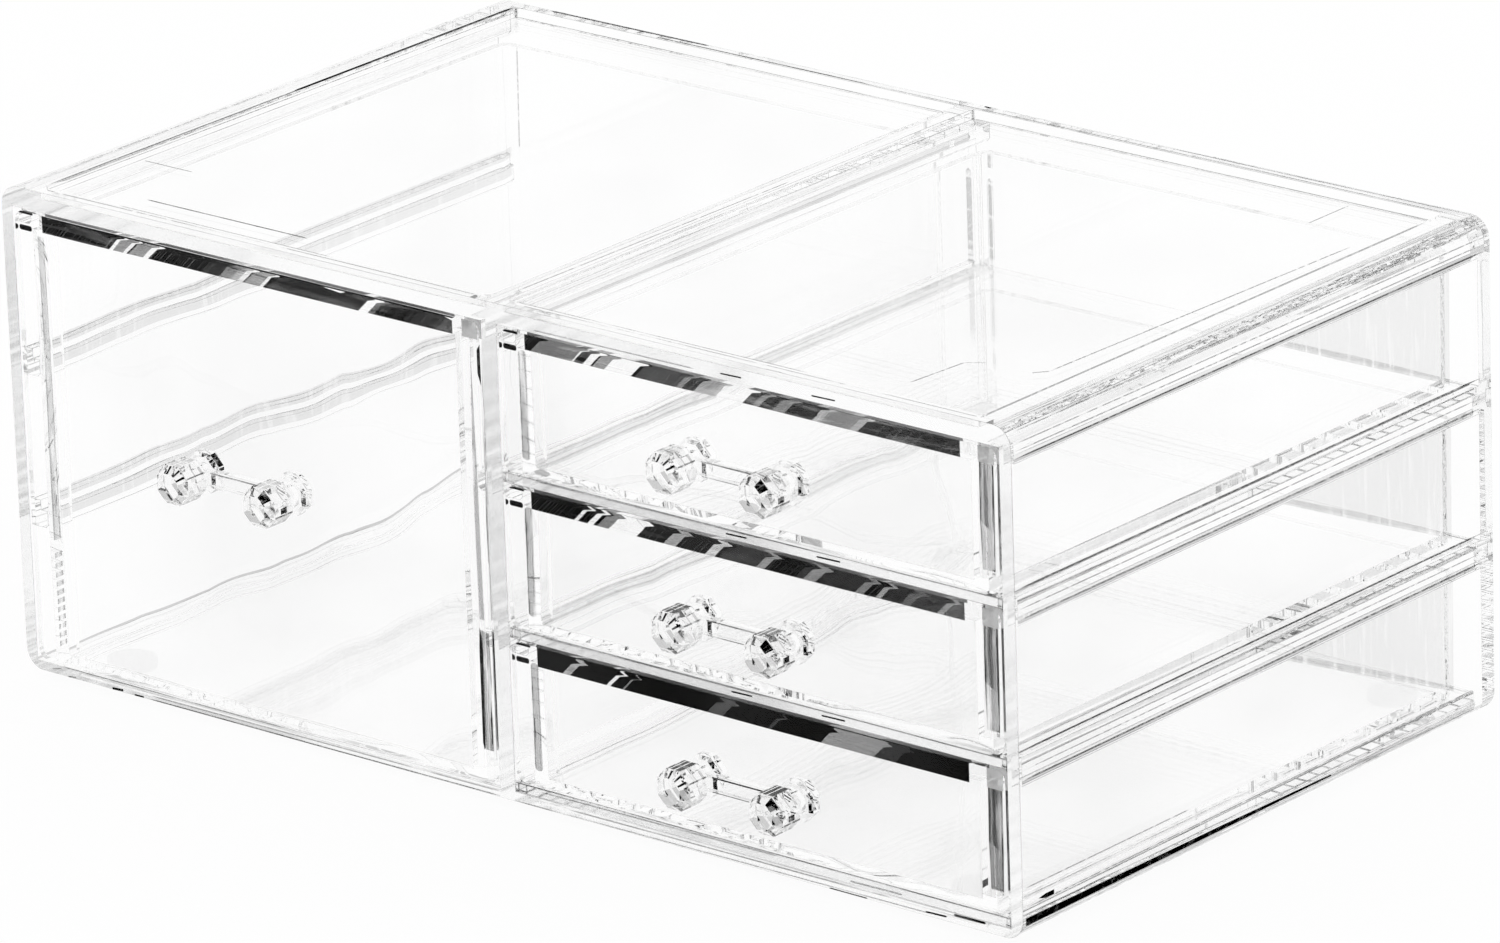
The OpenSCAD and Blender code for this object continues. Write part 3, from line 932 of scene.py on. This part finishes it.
class FacetShades(bpy.types.Operator):
    """Dark and pale reflections under the facets of the knobs and in their bars"""
    bl_idname = "drawer_case.facet_shades"
    bl_label = "Facet Shades"

    def execute(self, context):
        look = context.scene.case_film
        films = [plain_film("facet_film_dark", look, 0.0, 0.15, 0.25),
                 plain_film("facet_film_grey", look, 0.25, 0.2, 0.5),
                 plain_film("facet_film_pale", look, 0.7, 0.1, 0.3)]
        flat = KNOB_RADIUS * math.cos(math.radians(HALF_FACET))
        for n in DRAWERS:
            low, high = in_mm(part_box("handle_" + n))
            panel_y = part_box("front_" + n)[0][1] / MM
            z = (low.z + high.z) / 2
            left_marks = LEFT_MARKS + (FOOT_MARKS if n == "tall" else ())
            outlines = []
            for x, marks, film in ((low.x + flat, left_marks, STRIPE_FILMS[n][0]),
                                   (high.x - flat, RIGHT_MARKS, STRIPE_FILMS[n][1])):
                marks = KNOB_MARKS + marks + tuple(m + (film,) for m in STRIPES)
                outlines += [(facet_outline(Vector((x, panel_y, z)), m), m[4]) for m in marks]
            left, right = low.x + 2 * flat + 0.2, high.x - 2 * flat - 0.2
            for (foot, head), film in zip(BAR_LINES, BAR_FILMS[n]):
                line = rectangle(left, right, z + foot, z + head)
                outlines.append((upright(line, panel_y - BAR_DEPTH), film))
            obj = leaves("facet_shade_" + n, outlines, *films)
            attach(obj, "drawer_" + n)
        return {"FINISHED"}


class Pads(bpy.types.Operator):
    """Soft pads under the base"""
    bl_idname = "drawer_case.pads"
    bl_label = "Pads"

    def execute(self, context):
        silicone = milky_silicone("milky_silicone", context.scene.case_pads)
        for n in NODES:
            if n.startswith("pad_"):
                obj = merged_copy("soft_" + n, [n])
                dress(obj, [silicone], 0.0, context.scene.case_acrylic.skin)
                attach(obj, "case")
                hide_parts(n)
        return {"FINISHED"}


# ---------------------------------------------------------------- stage

FLOOR_HALF = 30.0
# The camera was fitted to the straight edges in the photograph: azimuth, elevation and roll in
# degrees, then metres
CAMERA_TURN = (40.508, 19.649, -1.957)
CAMERA_TARGET = (0, 0.01075, 0.0624)
CAMERA_SHIFT = (0.001076, 0.00734)
CAMERA_DISTANCE = 2.6415
CAMERA_LENS = 275.74
# Light turns up to some hundred times between clear faces before it leaves
BOUNCES = 400
CLEAR_BOUNCES = 16


def camera_matrix():
    """The camera's place, with its right, its up and its back as axes."""
    az, el, roll = (math.radians(v) for v in CAMERA_TURN)
    right = Vector((math.cos(az), math.sin(az), 0))
    back = Vector((math.sin(az) * math.cos(el), -math.cos(az) * math.cos(el), math.sin(el)))
    up = back.cross(right)
    side = right * math.cos(roll) + up * math.sin(roll)
    rise = up * math.cos(roll) - right * math.sin(roll)
    place = (Vector(CAMERA_TARGET) - side * CAMERA_SHIFT[0] - rise * CAMERA_SHIFT[1]
             + back * CAMERA_DISTANCE)
    return Matrix([(side[i], rise[i], back[i], place[i]) for i in range(3)] + [(0, 0, 0, 1)])


class Stage(bpy.types.Operator):
    """Floor, light and camera"""
    bl_idname = "drawer_case.stage"
    bl_label = "Stage"

    def execute(self, context):
        scene = context.scene
        bm = bmesh.new()
        bmesh.ops.create_grid(bm, x_segments=1, y_segments=1, size=FLOOR_HALF)
        floor = new_object("floor", bm, floor_paper("white_paper", scene.case_stage))
        scene.world = studio_world("white_studio", scene.case_stage)

        cam = bpy.data.cameras.new("camera")
        cam.sensor_fit = "HORIZONTAL"
        cam.sensor_width = 36.0
        cam.lens = CAMERA_LENS
        cam.clip_start = 0.1
        cam.clip_end = 60
        obj = bpy.data.objects.new("camera", cam)
        scene.collection.objects.link(obj)
        obj.matrix_world = camera_matrix()
        scene.camera = obj

        scene.view_settings.view_transform = "Standard"
        scene.cycles.max_bounces = BOUNCES
        scene.cycles.transmission_bounces = BOUNCES
        scene.cycles.glossy_bounces = BOUNCES
        scene.cycles.transparent_max_bounces = CLEAR_BOUNCES
        return {"FINISHED"}


# ---------------------------------------------------------------- add-on

GROUPS = (("case_acrylic", AcrylicLook), ("case_film", FilmLook), ("case_pads", PadLook),
          ("case_stage", StageLook))
OPERATORS = (CaseBody, Shelves, Drawers, EdgeShades, SideShades, CaseShades, FineLines, Handles,
             FacetShades, Pads, Stage)


class DrawerCasePanel(bpy.types.Panel):
    """Settings and pieces of the clear drawer case"""
    bl_idname = "VIEW3D_PT_drawer_case"
    bl_label = "Clear Drawer Case"
    bl_space_type = "VIEW_3D"
    bl_region_type = "UI"
    bl_category = "Drawer Case"

    def draw(self, context):
        for attribute, group in GROUPS:
            box = self.layout.box()
            for name in group.__annotations__:
                box.prop(getattr(context.scene, attribute), name)
        for operator in OPERATORS:
            self.layout.operator(operator.bl_idname)


def register():
    for attribute, group in GROUPS:
        bpy.utils.register_class(group)
        setattr(bpy.types.Scene, attribute, PointerProperty(type=group))
    for c in OPERATORS + (DrawerCasePanel,):
        bpy.utils.register_class(c)


def unregister():
    for c in (DrawerCasePanel,) + OPERATORS[::-1]:
        bpy.utils.unregister_class(c)
    for attribute, group in GROUPS[::-1]:
        delattr(bpy.types.Scene, attribute)
        bpy.utils.unregister_class(group)


def main():
    register()
    bpy.ops.drawer_case.case_body()
    bpy.ops.drawer_case.shelves()
    bpy.ops.drawer_case.drawers()
    bpy.ops.drawer_case.edge_shades()
    bpy.ops.drawer_case.side_shades()
    bpy.ops.drawer_case.case_shades()
    bpy.ops.drawer_case.fine_lines()
    bpy.ops.drawer_case.handles()
    bpy.ops.drawer_case.facet_shades()
    bpy.ops.drawer_case.pads()
    bpy.ops.drawer_case.stage()


if __name__ == "__main__":
    main()
